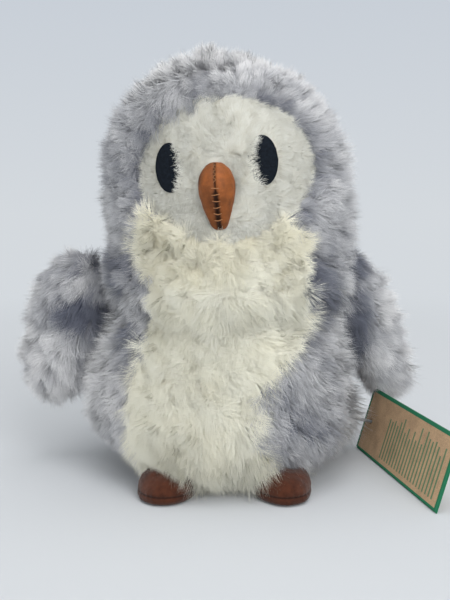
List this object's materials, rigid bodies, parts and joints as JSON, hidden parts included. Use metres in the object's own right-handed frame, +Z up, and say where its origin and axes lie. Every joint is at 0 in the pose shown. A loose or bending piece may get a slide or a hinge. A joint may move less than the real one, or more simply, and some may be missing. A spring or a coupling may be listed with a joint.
{
  "type": "plush owl",
  "caption": "Seated stuffed owl in long pile with a hood, pale face and belly, sewn beak, hinged wings and feet, and a hang tag.",
  "frame": {"origin": "middle of the flat base, on the surface that the owl stands on", "axes": "+Z up, the face looks along -Y, +X is on the viewer's right when the viewer looks at the face"},
  "size_m": [0.2057, 0.133, 0.2054],
  "materials": {
    "body_back_panel": "long fur pile",
    "belly_panel": "long fur pile",
    "base_panel": "long fur pile",
    "body_filling": "loose fibre filling",
    "tag_fastener": "clear moulded",
    "hood_panel": "long fur pile",
    "face_panel": "short fur pile",
    "chin_panel": "long fur pile",
    "head_filling": "loose fibre filling",
    "eye_left": "felt",
    "eye_right": "felt",
    "beak_left_half": "smooth grain",
    "beak_right_half": "smooth grain",
    "beak_filling": "loose fibre filling",
    "beak_stitches": "twisted thread",
    "wing_left": "long fur pile",
    "wing_left_lining": "long fur pile",
    "wing_left_filling": "loose fibre filling",
    "wing_right": "long fur pile",
    "wing_right_lining": "long fur pile",
    "wing_right_filling": "loose fibre filling",
    "foot_left_upper": "suede",
    "foot_left_sole": "suede",
    "foot_left_filling": "loose fibre filling",
    "foot_right_upper": "suede",
    "foot_right_sole": "suede",
    "foot_right_filling": "loose fibre filling",
    "tag_front_leaf": "uncoated card",
    "tag_back_leaf": "uncoated card"
  },
  "bodies": {
    "body": {"body_back_panel": "body_back_panel", "belly_panel": "belly_panel", "base_panel": "base_panel", "body_filling": "body_filling", "tag_fastener": "tag_fastener"},
    "head": {"hood_panel": "hood_panel", "face_panel": "face_panel", "chin_panel": "chin_panel", "head_filling": "head_filling", "eye_left": "eye_left", "eye_right": "eye_right", "beak_left_half": "beak_left_half", "beak_right_half": "beak_right_half", "beak_filling": "beak_filling", "beak_stitches": "beak_stitches"},
    "wing_left": {"wing_left": "wing_left", "wing_left_lining": "wing_left_lining", "wing_left_filling": "wing_left_filling"},
    "wing_right": {"wing_right": "wing_right", "wing_right_lining": "wing_right_lining", "wing_right_filling": "wing_right_filling"},
    "foot_left": {"foot_left_upper": "foot_left_upper", "foot_left_sole": "foot_left_sole", "foot_left_filling": "foot_left_filling"},
    "foot_right": {"foot_right_upper": "foot_right_upper", "foot_right_sole": "foot_right_sole", "foot_right_filling": "foot_right_filling"},
    "tag": {"tag_front_leaf": "tag_front_leaf", "tag_back_leaf": "tag_back_leaf"}
  },
  "joints": [
    {"name": "head_nod", "type": "hinge", "parent": "body", "child": "head", "pos_m": [0, 0, 0.088], "axis": [1, 0, 0], "range_deg": [-8, 8], "stiffness_Nm_per_rad": 0.6},
    {"name": "wing_left_lift", "type": "hinge", "parent": "body", "child": "wing_left", "pos_m": [-0.062, 0, 0.1025], "axis": [0, 1, 0], "range_deg": [0, 50], "stiffness_Nm_per_rad": 0.1},
    {"name": "wing_right_lift", "type": "hinge", "parent": "body", "child": "wing_right", "pos_m": [0.062, 0, 0.1025], "axis": [0, -1, 0], "range_deg": [0, 50], "stiffness_Nm_per_rad": 0.1},
    {"name": "foot_left_lift", "type": "hinge", "parent": "body", "child": "foot_left", "pos_m": [-0.023, -0.036, 0], "axis": [-1, 0, 0], "range_deg": [0, 12], "stiffness_Nm_per_rad": 0.02},
    {"name": "foot_right_lift", "type": "hinge", "parent": "body", "child": "foot_right", "pos_m": [0.023, -0.036, 0], "axis": [-1, 0, 0], "range_deg": [0, 12], "stiffness_Nm_per_rad": 0.02},
    {"name": "tag_swing", "type": "hinge", "parent": "body", "child": "tag", "pos_m": [0.0788, 0.012, 0.0165], "axis": [-0.9387, -0.1825, 0.2924], "range_deg": [0, 25]}
  ]
}
